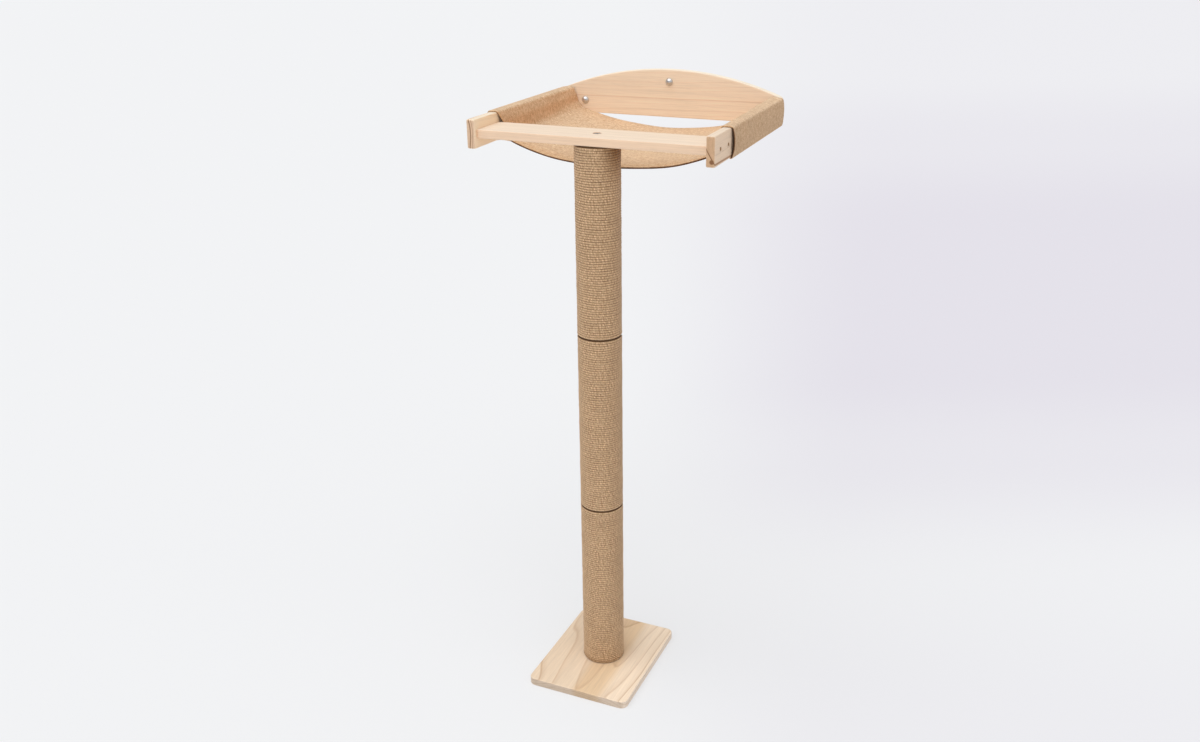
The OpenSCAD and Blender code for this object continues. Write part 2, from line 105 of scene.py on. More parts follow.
class Shader:
    """A material's node tree, with one short method for each kind of node that it uses."""

    def __init__(self, name, roughness=0.6, metallic=0.0, specular=0.35, sheen=0.0):
        self.material = bpy.data.materials.new(name)
        self.material.use_nodes = True
        self.tree = self.material.node_tree
        self.tree.nodes.clear()
        output = self.tree.nodes.new("ShaderNodeOutputMaterial")
        self.surface = self.tree.nodes.new("ShaderNodeBsdfPrincipled")
        self.surface.inputs["Roughness"].default_value = roughness
        self.surface.inputs["Metallic"].default_value = metallic
        self.surface.inputs["Specular IOR Level"].default_value = specular
        self.surface.inputs["Sheen Weight"].default_value = sheen
        self.tree.links.new(self.surface.outputs[0], output.inputs["Surface"])
        coords = self.tree.nodes.new("ShaderNodeTexCoord")
        self.place = coords.outputs["Object"]
        self.facing = coords.outputs["Normal"]

    def plug(self, socket, value):
        if isinstance(value, bpy.types.NodeSocket):
            self.tree.links.new(value, socket)
        else:
            socket.default_value = value

    def math(self, kind, a, b=0.0, c=0.0):
        node = self.tree.nodes.new("ShaderNodeMath")
        node.operation = kind
        for socket, value in zip(node.inputs, (a, b, c)):
            self.plug(socket, value)
        return node.outputs[0]

    def add(self, *values):
        total = values[0]
        for value in values[1:]:
            total = self.math("ADD", total, value)
        return total

    def weigh(self, *pairs):
        """The sum of the values, each times its weight. pairs are (value, weight)."""
        total = self.math("MULTIPLY", *pairs[0])
        for value, weight in pairs[1:]:
            total = self.math("MULTIPLY_ADD", value, weight, total)
        return total

    def length(self, x, y):
        node = self.tree.nodes.new("ShaderNodeVectorMath")
        node.operation = "LENGTH"
        self.plug(node.inputs[0], self.join(x, y))
        return node.outputs["Value"]

    def split(self, vector):
        node = self.tree.nodes.new("ShaderNodeSeparateXYZ")
        self.plug(node.inputs[0], vector)
        return node.outputs

    def join(self, x, y, z=0.0):
        node = self.tree.nodes.new("ShaderNodeCombineXYZ")
        for socket, value in zip(node.inputs, (x, y, z)):
            self.plug(socket, value)
        return node.outputs[0]

    def noise_node(self, axes, sizes, seed, detail, roughness=0.5):
        node = self.tree.nodes.new("ShaderNodeTexNoise")
        scaled = [self.math("MULTIPLY_ADD", a, 1 / size, seed) for a, size in zip(axes, sizes)]
        self.plug(node.inputs["Vector"], self.join(*scaled))
        node.inputs["Scale"].default_value = 1
        node.inputs["Detail"].default_value = detail
        node.inputs["Roughness"].default_value = roughness
        return node

    def noise(self, axes, sizes, seed=0.0, detail=2.0, roughness=0.5):
        """Noise round 0.5, whose features have the given sizes along the two or three axes."""
        return self.noise_node(axes, sizes, seed, detail, roughness).outputs["Fac"]

    def drift(self, axes, sizes, seed=0.0, detail=1.0):
        """Three noises round 0, as x, y and z."""
        x, y, z = self.split(self.noise_node(axes, sizes, seed, detail).outputs["Color"])
        return [self.math("SUBTRACT", a, 0.5) for a in (x, y, z)]

    def ramp(self, value, *stops, smooth=False):
        """stops are (place, colour) pairs. A plain number stands for a grey."""
        node = self.tree.nodes.new("ShaderNodeValToRGB")
        if smooth:
            node.color_ramp.interpolation = "EASE"
        elements = node.color_ramp.elements
        while len(elements) < len(stops):
            elements.new(0.5)
        for element, (place, shade) in zip(elements, stops):
            element.position = place
            element.color = shade if hasattr(shade, "__len__") else (shade, shade, shade, 1)
        self.plug(node.inputs[0], value)
        return node.outputs[0]

    def mix(self, share, a, b, kind="MIX"):
        node = self.tree.nodes.new("ShaderNodeMix")
        node.data_type = "RGBA"
        node.blend_type = kind
        self.plug(node.inputs["Factor"], share)
        self.plug(node.inputs[MIX_COLOUR_A], a)
        self.plug(node.inputs[MIX_COLOUR_B], b)
        return node.outputs[MIX_COLOUR_OUT]

    def times(self, shade, factor, share=1.0):
        if isinstance(factor, tuple):
            factor = (*factor, 1)
        return self.mix(share, shade, factor, "MULTIPLY")

    def vary(self, shade, value, swing):
        """The shade, darker by the share "swing" where value is 0 and lighter where it is 1."""
        return self.times(shade, self.math("MULTIPLY_ADD", value, 2 * swing, 1 - swing))

    def attribute(self, name):
        node = self.tree.nodes.new("ShaderNodeAttribute")
        node.attribute_name = name
        return node.outputs["Fac"]

    def bump(self, height, distance, strength=1.0):
        node = self.tree.nodes.new("ShaderNodeBump")
        self.plug(node.inputs["Height"], height)
        node.inputs["Distance"].default_value = distance
        node.inputs["Strength"].default_value = strength
        self.tree.links.new(node.outputs[0], self.surface.inputs["Normal"])

    def paint(self, shade, roughness=None):
        self.plug(self.surface.inputs["Base Color"], shade)
        if roughness is not None:
            self.plug(self.surface.inputs["Roughness"], roughness)
        return self.material


# Wood: rings round a pith line, cut by the board's faces, so that faces, edges and ends agree

ACROSS = {"x": (1, 2), "y": (0, 2), "z": (0, 1)}


def wood(
    name, grain, pith, ring_w, pale, dark, seed, lean=(0.0, 0.0), squeeze=1.0, heart=None,
    top=(1, 1, 1), end=(0.78, 0.68, 0.58), strength=1.0, lines=(), arcs=(), knots=(), painted_lift=None,
):
    """Pine whose grain runs along the axis "grain". pith is the middle of the tree, as the two
    coordinates across the grain, and lean is how far it drifts for each metre. squeeze flattens
    the rings on one side of the pith. heart is a colour and the half width of its band over the
    pith. top is painted light: a tint of the faces that look up or down, paler as if lit from
    above. end is a tint of the end grain. lines are single dark lines: the direction across the
    grain, the distance along it, the drift for each metre, the half width and the strength. arcs
    are single dark rings: the radius, the half width and the strength. knots are centres with a
    radius. sap is painted light: a paler tint that lifts the shade cast on the board towards one
    side, and where along the first direction across the grain it starts and is full. It is half
    as strong on upright faces."""
    s = Shader(name, roughness=0.58, specular=0.3)
    axes = s.split(s.place)
    along = axes["xyz".index(grain)]
    first, second = (axes[i] for i in ACROSS[grain])
    cross = (first, second, along)
    # Slow wander of the rings, long along the grain
    wander = s.drift(cross, (90 * MM, 90 * MM, 380 * MM), seed, 1.5)
    u, v = (
        s.add(s.weigh((wander[i], 22 * MM), (along, lean[i])), axis, -pith[i])
        for i, axis in enumerate((first, second))
    )
    across_pith = s.math("ABSOLUTE", u)
    u = s.math("MAXIMUM", u, s.math("MULTIPLY", u, squeeze))
    radius = s.length(u, v)
    uneven = s.noise((radius, 0.0, 0.0), (16 * MM, 1, 1), seed, 1.0)
    rings = s.weigh((radius, 1 / ring_w), (uneven, 2.2))
    year = s.math("FRACT", rings)
    late = s.ramp(year, (0.0, 0.0), (0.6, 0.08), (0.84, 0.40), (0.91, 1.0), (0.97, 0.0))
    # Each year's late wood is more or less marked than the next
    marked = s.noise((s.math("FLOOR", rings), 0.0, 0.0), (1, 1, 1), seed + 3.7, 0.0)
    late = s.math("MULTIPLY", late, s.math("MULTIPLY_ADD", marked, 1.3 * strength, 0.15 * strength))
    for (n0, n1), place, slope, half_w, force in lines:
        off = s.add(s.weigh((first, n0), (second, n1), (along, slope), (wander[0], 6 * MM)), -place)
        near = s.math("DIVIDE", s.math("ABSOLUTE", off), half_w)
        late = s.math("MAXIMUM", late, s.ramp(near, (0.0, force), (1.0, 0.0), smooth=True))
    for place, half_w, force in arcs:
        near = s.math("ABSOLUTE", s.math("DIVIDE", s.math("SUBTRACT", radius, place), half_w))
        late = s.math("MAXIMUM", late, s.ramp(near, (0.0, force), (1.0, 0.0), smooth=True))
    for centre, knot_r in knots:
        x, y, z = (s.math("SUBTRACT", axis, middle) for axis, middle in zip(axes, centre))
        near = s.math("DIVIDE", s.length(s.length(x, y), z), knot_r)
        late = s.math("MAXIMUM", late, s.ramp(near, (0.4, 1.3), (1.0, 0.0), smooth=True))
    fibre = s.noise(cross, (1.4 * MM, 1.4 * MM, 62 * MM), seed, 3.0, 0.6)
    streak = s.noise(cross, (8 * MM, 8 * MM, 330 * MM), seed, 2.0)
    pore = s.noise(cross, (0.9 * MM, 0.9 * MM, 22 * MM), seed + 1.1, 1.0)
    shade = pale
    if heart:
        tint, half_w = heart
        band = s.add(s.math("DIVIDE", across_pith, half_w), s.math("MULTIPLY", wander[2], 0.8))
        shade = s.mix(s.ramp(band, (0.35, 1.0), (1.0, 0.0), smooth=True), shade, tint)
    upward = s.math("ABSOLUTE", s.split(s.facing)[2])
    # Painted light: a paler tint towards one side that lifts the shade cast there, half as strong on
    # upright faces
    if painted_lift:
        tint, lift_from, lift_full = painted_lift
        outer = s.math("DIVIDE", s.add(first, -lift_from), lift_full - lift_from)
        outer = s.ramp(outer, (0.0, 0.0), (1.0, 1.0), smooth=True)
        share = s.math("MULTIPLY", outer, s.math("MULTIPLY_ADD", upward, 0.5, 0.5))
        shade = s.mix(share, shade, s.times(shade, tint))
    shade = s.mix(late, shade, dark)
    shade = s.vary(shade, fibre, 0.16)
    shade = s.vary(shade, streak, 0.10)
    shade = s.times(shade, s.ramp(pore, (0.66, 1.0), (0.76, 0.90)))
    # Painted light: faces that look up or down take the top tint, paler as if lit from above
    shade = s.mix(s.ramp(upward, (0.55, 0.0), (0.9, 1.0)), shade, s.times(shade, top))
    endward = s.math("ABSOLUTE", s.split(s.facing)["xyz".index(grain)])
    # End grain drinks more light, and its rings stand out
    cut = s.vary(s.times(shade, end), s.math("SUBTRACT", 1.0, late), 0.12)
    shade = s.mix(s.ramp(endward, (0.72, 0.0), (0.95, 1.0)), shade, cut)
    s.bump(s.weigh((fibre, 0.6), (late, 0.4), (pore, -0.3)), 0.2 * MM, 0.55)
    return s.paint(shade, s.ramp(fibre, (0.2, 0.68), (0.8, 0.52)))


def cardboard():
    """Spiral-wound tube: wide strips with a thin seam between them."""
    s = Shader("cardboard", roughness=0.85, specular=0.2)
    x, y, z = axes = s.split(s.place)
    turn = s.math("DIVIDE", s.math("ARCTAN2", y, x), 2 * pi)
    strip = s.math("FRACT", s.add(turn, s.math("DIVIDE", z, 90 * MM)))
    seam = s.ramp(strip, (0.0, 0.6), (0.02, 1.0), (0.98, 1.0), (1.0, 0.6))
    pulp = s.noise(axes, (1.1 * MM,) * 3, detail=3.0)
    s.bump(pulp, 0.1 * MM, 0.4)
    return s.paint(s.times(s.mix(pulp, colour(116, 88, 62), colour(140, 110, 80)), seam))


def plywood():
    """Plugs of thin layers that lie flat across the post."""
    s = Shader("plywood", roughness=0.7, specular=0.25)
    axes = s.split(s.place)
    layer = s.math("PINGPONG", s.math("DIVIDE", axes[2], 2.5 * MM), 1.0)
    layer = s.ramp(layer, (0.45, 0.0), (0.55, 1.0))
    fibre = s.noise(axes, (25 * MM, 1.6 * MM, 1.6 * MM), detail=3.0)
    shade = s.mix(layer, colour(214, 180, 140), colour(184, 144, 102))
    s.bump(fibre, 0.1 * MM, 0.4)
    return s.paint(s.vary(shade, fibre, 0.2))


def steel(name, shade, rough, brushed=0.5):
    """Plated steel with fine turning marks and a slightly uneven sheen."""
    s = Shader(name, roughness=rough, metallic=1.0, specular=0.5)
    axes = s.split(s.place)
    cloud = s.noise(axes, (4 * MM,) * 3, detail=3.0)
    marks = s.noise(axes, (0.4 * MM,) * 3)
    s.bump(marks, 0.04 * MM, brushed)
    return s.paint(s.vary(shade, cloud, 0.12), s.math("MULTIPLY_ADD", cloud, -0.2, rough + 0.10))


def rope_material():
    """Two-ply twisted sisal. The mesh holds how deep each point lies between the plies, the place
    along the cord, the angle of the twist, how near the point lies to the next turn, and how much
    the bed or the plate shades it."""
    s = Shader("rope", roughness=0.82, specular=0.22, sheen=0.15)
    deep = s.attribute("ply_depth")
    along = s.attribute("cord_along")
    lay = s.attribute("cord_lay")
    beside = s.attribute("cord_beside")
    shaded = s.attribute("shaded")
    fibre = s.noise((lay, along), (0.14, 7 * MM), 0.0, 3.0, 0.65)
    slub = s.ramp(s.noise((along, 0.0), (2.8 * MM, 1), 4.0, 2.0), (0.35, 0.0), (0.65, 1.0))
    patch = s.noise(s.split(s.place), (30 * MM, 30 * MM, 12 * MM), 3.0)
    shade = s.mix(slub, colour(176, 140, 102), colour(233, 200, 162))
    shade = s.vary(shade, fibre, 0.6)
    shade = s.vary(shade, patch, 0.13)
    # Painted shade: darker in the grooves between the plies, and darker brown where the cord lies against
    # the next turn
    shade = s.mix(s.ramp(deep, (0.35, 0.0), (0.95, 0.35)), shade, colour(150, 112, 78))
    shade = s.mix(s.ramp(beside, (0.55, 0.0), (0.95, 0.95)), shade, colour(132, 92, 58))
    shade = s.times(shade, s.ramp(shaded, (0.0, 1.0), (0.75, (0.40, 0.28, 0.15, 1))))
    s.bump(s.weigh((fibre, 0.7), (deep, -0.4)), 0.4 * MM, 0.8)
    return s.paint(shade)


def fuzz_material():
    """Loose sisal fibres, paler than the cord."""
    s = Shader("rope_fibre", roughness=0.8, specular=0.2)
    tone = s.noise(s.split(s.place), (9 * MM,) * 3)
    return s.paint(s.mix(tone, colour(196, 162, 126), colour(232, 204, 172)))


def cloth_material():
    """Plain-woven burlap. The mesh holds both directions of the weave in metres, how far each
    point lies on the dark lining's side, and how near it lies to the belly's front, which is painted paler
    against the rail's shadow."""
    s = Shader("sling_cloth", roughness=0.88, specular=0.15, sheen=0.15)
    across = s.attribute("weave_across")
    down = s.attribute("weave_down")
    lining = s.attribute("lining")
    front_hem = s.attribute("front_hem")
    flat = (across, down)
    thread_w = 1.9 * MM
    wobble = s.noise(flat, (14 * MM, 14 * MM), 2.0)
    warp = s.weigh((across, 1 / thread_w), (wobble, 2.6))
    weft = s.weigh((down, 1 / thread_w), (wobble, -2.2))
    ridge_a, ridge_b = (
        s.math("ABSOLUTE", s.math("SINE", s.math("MULTIPLY", a, pi))) for a in (warp, weft)
    )
    # 1 where the warp lies over the weft, 0 where it lies under it
    crossing = s.add(s.math("FLOOR", warp), s.math("FLOOR", weft))
    over = s.math("ABSOLUTE", s.math("MODULO", crossing, 2.0))
    over_a = s.math("MULTIPLY", ridge_a, s.math("MULTIPLY_ADD", ridge_b, 0.5, 0.5))
    over_b = s.math("MULTIPLY", ridge_b, s.math("MULTIPLY_ADD", ridge_a, 0.5, 0.5))
    over_b = s.math("MULTIPLY", over_b, s.math("SUBTRACT", 1.0, over))
    weave = s.add(s.math("MULTIPLY", over_a, over), over_b)
    # Thick and thin stretches of yarn, specks and clumps
    weft_slub = s.noise(flat, (16 * MM, 1.7 * MM), 0.0, 2.0, 0.6)
    warp_slub = s.noise(flat, (1.7 * MM, 13 * MM), 5.0, 2.0, 0.6)
    speck = s.noise(flat, (2.1 * MM, 2.1 * MM), 8.0, 2.0)
    clump = s.noise(flat, (6 * MM, 5 * MM), 11.0, 1.0)
    cloud = s.noise(s.split(s.place), (70 * MM,) * 3)
    tone = s.weigh((weft_slub, 0.30), (warp_slub, 0.15), (speck, 0.30), (clump, 0.25))
    thick = s.ramp(tone, (0.38, 0.0), (0.62, 1.0))
    shade = s.mix(thick, colour(201, 157, 114), colour(250, 223, 189))
    shade = s.vary(shade, cloud, 0.10)
    shade = s.times(shade, s.ramp(weave, (0.0, 0.70), (0.35, 1.0)), 0.5)
    # Painted light: the belly's front is paler, lifting the shadow that the rail casts on it
    shade = s.mix(front_hem, shade, s.times(shade, (1.28, 1.30, 1.28)))
    # Painted shade: the cloth's upright stretches are darker than the faces that look up, as if lit from
    # above, and warmer inside the bed than outside
    facing = s.split(s.facing)
    outward = s.math("MULTIPLY", facing[0], s.split(s.place)[0])
    outward = s.ramp(s.math("MULTIPLY_ADD", outward, 3.0, 0.5), (0.4, 0.0), (0.6, 1.0))
    inside = s.times(shade, (0.90, 0.73, 0.58))
    outside = s.times(shade, (0.82, 0.75, 0.66))
    painted_upright_shade = s.mix(outward, inside, outside)
    upward = s.math("ABSOLUTE", facing[2])
    shade = s.mix(s.ramp(upward, (0.15, 1.0), (0.75, 0.0)), shade, painted_upright_shade)
    backing = s.mix(thick, colour(84, 50, 26), colour(120, 78, 46))
    shade = s.mix(s.ramp(lining, (0.3, 0.0), (0.8, 1.0)), shade, backing)
    s.bump(s.weigh((weave, 0.7), (tone, 1.6)), 0.5 * MM, 0.8)
    return s.paint(shade)


def thread_material():
    """Sewing thread, nearly of the cloth's colour."""
    s = Shader("sewing_thread", roughness=0.7, specular=0.3)
    twist = s.noise(s.split(s.place), (0.45 * MM,) * 3)
    s.bump(twist, 0.1 * MM, 0.6)
    return s.paint(s.mix(twist, colour(212, 172, 134), colour(238, 206, 170)))


# Pieces made here


def new_piece(name, points, faces, material, slot, **point_values):
    """A smooth mesh piece that rides on the object, with float values held by its points."""
    mesh = bpy.data.meshes.new(name)
    mesh.from_pydata([tuple(p) for p in points], [], faces)
    mesh.shade_smooth()
    for key, values in point_values.items():
        held = mesh.attributes.new(key, "FLOAT", "POINT")
        held.data.foreach_set("value", np.asarray(values, np.float32).ravel())
    mesh.materials.append(material)
    piece = bpy.data.objects.new(name, mesh)
    bpy.context.scene.collection.objects.link(piece)
    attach(piece, "root")
    return piece


def loops_to_faces(count, size, first=0):
    """Faces of a closed tube of "count" loops that each have "size" points, in order. first is
    the number of the tube's first point."""
    faces = []
    for k in range(count - 1):
        for j in range(size):
            a, b = first + k * size + j, first + k * size + (j + 1) % size
            faces.append((a, b, b + size, a + size))
    faces.append(tuple(first + j for j in range(size))[::-1])
    faces.append(tuple(first + (count - 1) * size + j for j in range(size)))
    return faces


def smooth_step(x):
    """0 up to x = 0, 1 from x = 1, and a smooth rise between them."""
    x = np.clip(x, 0, 1)
    return x * x * (3 - 2 * x)


def unit(vectors):
    return vectors / np.linalg.norm(vectors, axis=-1, keepdims=True)


def wavy(x, step, seed):
    """A smooth random line round 0, with one free value for each step of x."""
    knots = np.arange(x.min() - 2 * step, x.max() + 3 * step, step)
    values = np.random.RandomState(seed).uniform(-1, 1, len(knots))
    i = np.searchsorted(knots, x) - 1
    share = smooth_step((x - knots[i]) / step)
    return values[i] * (1 - share) + values[i + 1] * share


# Rope windings

CORD_D = 4 * MM
CORD_PITCH = 4.3 * MM
# Length of one turn of the twist, and the plies' groove as a share of the cord's radius
CORD_LAY = 13 * MM
PLY_GROOVE = 0.13
RINGS_PER_TURN = 146
# How far the winding stops below its section's top
TOP_GAPS = {"lower": 1.2 * MM, "middle": 1.2 * MM, "upper": 2.2 * MM}
# The bed keeps light from the post's right side: how far down it does so, towards which side,
# how dark it gets and how much of that stays further down
SHADE_REACH = 75 * MM
SHADED_SIDE = np.array([0.912, 0.411])
SHADE_FULL = 0.75
SHADE_BELOW = 0.1
# The winding's foot on the plate gets less light too
FOOT_REACH = 9 * MM
FOOT_SHADE = 0.35
# How far the turns wander up and down, together and each by itself, and in and out
WANDER_TOGETHER = 0.28 * MM
WANDER_ALONE = 0.15 * MM
SUNK = 0.10 * MM
SPREAD_TOGETHER = 0.14 * MM
SPREAD_ALONE = 0.16 * MM
# The turns near each end wander less and stand out a little
END_LIFT = 0.30 * MM
END_REACH = 1.5 * CORD_D
SETTLED_AFTER = 5 * CORD_D
# Length along the cord of one free value: height, spread, twist and thickness
HEIGHT_STEP = 31 * MM
SPREAD_STEP = 23 * MM
TWIST_STEP = 60 * MM
THICK_STEP = 7 * MM
# How far the twist runs ahead or behind, in radians, and how much the cord's thickness changes
TWIST_WANDER = 2.2
THICK_WANDER = 0.06
# Directions round the cord, from straight out of the post: the last one lies on the tube
CORD_SIDES = np.radians([-96, -64, -32, 0, 32, 64, 96, 180])
# The cord is pressed against its neighbours, so it is a little square
CORD_SHAPE = np.array([1.06, 1.16, 1.06, 1.0, 1.06, 1.16, 1.06, 1.0])
# Half of the arc at the post's back in which the cord climbs from one turn to the next
CLIMB_HALF = radians(70)
BACK = pi / 2
FUZZ_COUNT = 1100
FUZZ_R = 0.10 * MM
FUZZ_RINGS = 4
# Lengths and lifts of the loose fibres, in millimetres, and where they start on the cord
FUZZ_LENGTHS = (3, 8)
FUZZ_LIFTS = (0.2, 0.9)
FUZZ_SEAT = 0.93


def rope_winding(section, seed, material):
    """One section's winding: a single cord, level at the front, that climbs a turn at the back."""
    low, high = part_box(f"{section}_rope")
    cord_r = CORD_D / 2
    middle_r = high.y - cord_r
    rise = high.z - low.z - CORD_D - TOP_GAPS[section]
    climbs = round(rise / CORD_PITCH)
    pitch = rise / climbs
    start = BACK + CLIMB_HALF
    total = 2 * pi * (climbs + 1) - 2 * CLIMB_HALF
    count = int(total / (2 * pi) * RINGS_PER_TURN)
    angle = start + np.linspace(0, total, count)
    from_back = angle - BACK
    turn = np.round(from_back / (2 * pi))
    level = turn - 1 + smooth_step((from_back - 2 * pi * turn + CLIMB_HALF) / (2 * CLIMB_HALF))
    height = low.z + cord_r + pitch * level
    along = middle_r * (angle - start)
    # The winding is hand-tight: neighbours wander together, and each turn a little by itself
    together = np.sin(3 * angle + 46 * height + seed) + 0.7 * np.sin(5 * angle - 61 * height + 1)
    ends = np.minimum(height - low.z, high.z - height)
    alone = wavy(along, HEIGHT_STEP, seed)
    settle = smooth_step(ends / SETTLED_AFTER)
    height = height + settle * (WANDER_TOGETHER * together + WANDER_ALONE * alone)
    spread = middle_r - SUNK + SPREAD_TOGETHER * np.sin(7 * angle + 90 * height)
    spread = spread + SPREAD_ALONE * wavy(along, SPREAD_STEP, seed + 10)
    spread = spread + END_LIFT * np.exp(-ends / END_REACH)
    out = np.stack([np.cos(angle), np.sin(angle), 0 * angle], 1)
    centre = out * spread[:, None]
    centre[:, 2] = height
    step = unit(np.gradient(centre, axis=0))
    side = unit(np.cross(step, out))
    twist = 2 * pi * along / CORD_LAY + TWIST_WANDER * wavy(along, TWIST_STEP, seed + 20)
    lay = CORD_SIDES[None, :] - twist[:, None]
    depth = 1 - np.abs(np.cos(lay))
    thick = 1 + THICK_WANDER * wavy(along, THICK_STEP, seed + 30)[:, None]
    reach = cord_r * CORD_SHAPE * thick * (1 - PLY_GROOVE * depth ** 1.4)
    tall = pitch / CORD_D
    points = (
        centre[:, None, :]
        + (reach * np.cos(CORD_SIDES))[:, :, None] * out[:, None, :]
        + (tall * reach * np.sin(CORD_SIDES))[:, :, None] * side[:, None, :]
    )
    size = len(CORD_SIDES)
    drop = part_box("front_rail")[0].z - points[:, :, 2]
    shaded_side = np.clip(points[:, :, :2] @ SHADED_SIDE / high.y, 0, SHADE_FULL)
    shaded = shaded_side * (SHADE_BELOW + np.clip(1 - drop / SHADE_REACH, 0, 1))
    if section == "lower":
        near_foot = np.clip(1 - (points[:, :, 2] - low.z) / FOOT_REACH, 0, 1)
        shaded = np.maximum(shaded, FOOT_SHADE * near_foot)
    piece = new_piece(
        f"{section}_rope_winding", points.reshape(-1, 3), loops_to_faces(count, size), material, "rope",
        ply_depth=depth, cord_along=np.repeat(along, size), cord_lay=lay / (2 * pi),
        cord_beside=np.tile(np.abs(np.sin(CORD_SIDES)), (count, 1)), shaded=shaded,
    )
    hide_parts(f"{section}_rope")
    return centre + (cord_r * FUZZ_SEAT) * out, step, out, side


def rope_fuzz(section, seed, crown, material):
    """Loose fibres that lie on the winding, away from its ends."""
    surface, step, out, side = crown
    pick = np.random.RandomState(seed)
    points, faces = [], []
    end = len(surface) // 60
    for i in pick.randint(end, len(surface) - end, FUZZ_COUNT):
        way = unit(step[i] * pick.choice([-1, 1]) + pick.uniform(-0.9, 0.9) * side[i])
        reach = pick.uniform(*FUZZ_LENGTHS) * MM
        lift = pick.uniform(*FUZZ_LIFTS) * MM
        bend = pick.uniform(-0.25, 0.25)
        rim = unit(np.cross(way, out[i]))
        first = len(points)
        for k in range(FUZZ_RINGS):
            share = k / (FUZZ_RINGS - 1)
            at = surface[i] + reach * share * way + reach * bend * share ** 2 * rim
            flat = np.hypot(*surface[i][:2])
            # Stay on the post's round surface, then rise from it
            at[:2] *= (flat + lift * share ** 2) / np.hypot(*at[:2])
            thin = FUZZ_R * (1 - 0.7 * share)
            for a in (0, 2 * pi / 3, 4 * pi / 3):
                points.append(at + thin * (cos(a) * out[i] + sin(a) * rim))
        faces += loops_to_faces(FUZZ_RINGS, 3, first)
    return new_piece(f"{section}_rope_fibres", points, faces, material, "rope")


# The sling, from the same formulas as its solid

CLOTH_T = 2 * MM
CLOTH_GAP = 0.4 * MM
# How far the belly's lowest line hangs below the arms' top
SAG_FRONT = 84 * MM
SAG_BACK = 67 * MM
SLEEVE_BULGE = 4 * MM
# Gap between the rail's back and the belly's front
SLING_RAIL_GAP = 7 * MM
# How far the arm's underside rises from front to back
ARM_RISE = 4 * MM
# The sleeve's seam allowance and how far its layer lies below the belly
SEAM_W = 12 * MM
SEAM_DROP = 1.15 * CLOTH_T + 3 * CLOTH_GAP
# How far the cloth's middle lies off the wood, on faces and round corners
HUG = CLOTH_GAP + CLOTH_T / 2
CORNER_HUG = 0.6 * HUG
# How far the belly starts behind the sleeves' front
BELLY_BACK = 16 * MM
HEM_W = 11 * MM
HEM_T = 1.2 * MM
# Depth of the stretch along the belly's front that is painted paler, as painted light against the rail's
# shadow
FRONT_LIGHT_DEPTH = 34 * MM
# Heights of the cloth's small forms: slack waves, the puffed fold inside each sleeve's top, the
# ripple on its outer side, and how far it gapes there at the front
SLACK = 0.55 * MM
PUFF = 1.6 * MM
PUFF_R = 8 * MM
RIPPLE = 0.7 * MM
RIPPLE_EDGE = 8 * MM
RIPPLE_FADE = 12 * MM
GAPE = 1.2 * MM
GAPE_DEPTH = 14 * MM

arm_box_low, arm_box_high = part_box("right_arm")
ARM_IN, ARM_OUT = arm_box_low.x, arm_box_high.x
ARM_Z, ARM_TOP = arm_box_low.z, arm_box_high.z
ARM_H = ARM_TOP - ARM_Z
ARM_FRONT_Y, BOARD_Y = arm_box_low.y, arm_box_high.y
SLEEVE_FRONT_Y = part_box("front_rail")[1].y + SLING_RAIL_GAP - BELLY_BACK
SLING_BACK_Y = BOARD_Y - CLOTH_GAP
# Steps of the mesh: from front to back, from each sleeve point to the next, across the belly,
# and round an edge of the cloth
STATIONS = 76
SLEEVE_SHARE = 9
BELLY_STEPS = 90
EDGE_POINTS = 4


def mix(a, b, t):
    return a + (b - a) * t


# The rim is where the belly ends and the sleeve starts to rise, at share t from front to back


def rim_x(t):
    return ARM_IN - mix(17, 24, t) * MM


def rim_z(t):
    return ARM_Z + mix(1, 13, t) * MM


def belly_z(x, t):
    """Height of the belly's middle surface: a parabola at the back, flatter below in front."""
    low = ARM_TOP - mix(SAG_FRONT, SAG_BACK, t) + CLOTH_T / 2
    u = x / rim_x(t)
    round_part = mix(0.7, 1, t)
    return mix(low, rim_z(t), round_part * u ** 2 + (1 - round_part) * u ** 4)


def arm_low(t):
    y = mix(SLEEVE_FRONT_Y, SLING_BACK_Y, t)
    return ARM_Z + ARM_RISE * (y - ARM_FRONT_Y) / (BOARD_Y - ARM_FRONT_Y)


def bulge(t):
    return mix(SLEEVE_BULGE, 0.7 * SLEEVE_BULGE, t)


